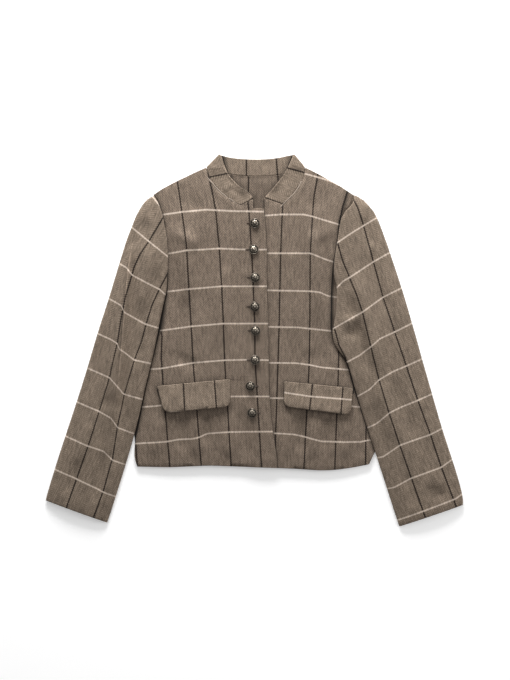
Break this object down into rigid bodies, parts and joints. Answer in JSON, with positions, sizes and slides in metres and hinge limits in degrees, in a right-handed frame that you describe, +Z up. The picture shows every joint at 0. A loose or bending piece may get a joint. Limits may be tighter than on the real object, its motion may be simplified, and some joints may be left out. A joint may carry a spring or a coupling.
{
  "type": "herringbone jacket laid flat",
  "caption": "Cropped stand-collar jacket in checked herringbone wool, laid flat face up, with long plain sleeves, flap pockets and a buttoned front.",
  "frame": {"origin": "middle of the garment's box in plan, on the surface that it lies on", "axes": "+X to the viewer's right, which is the wearer's left; +Y from the hem to the collar; +Z up, out of the fronts"},
  "size_m": [0.7724, 0.6908, 0.0185],
  "materials": {
    "wool_cloth": "brushed woven wool, matt",
    "pewter": "antiqued silver-grey metal, satin"
  },
  "bodies": {
    "root": {"back": "wool_cloth", "front_right": "wool_cloth", "front_left": "wool_cloth", "collar": "wool_cloth", "sleeve_right": "wool_cloth", "sleeve_left": "wool_cloth", "flap_right": "wool_cloth", "flap_left": "wool_cloth", "button_1": "pewter", "button_2": "pewter", "button_3": "pewter", "button_4": "pewter", "button_5": "pewter", "button_6": "pewter", "button_7": "pewter", "button_8": "pewter"}
  },
  "joints": []
}
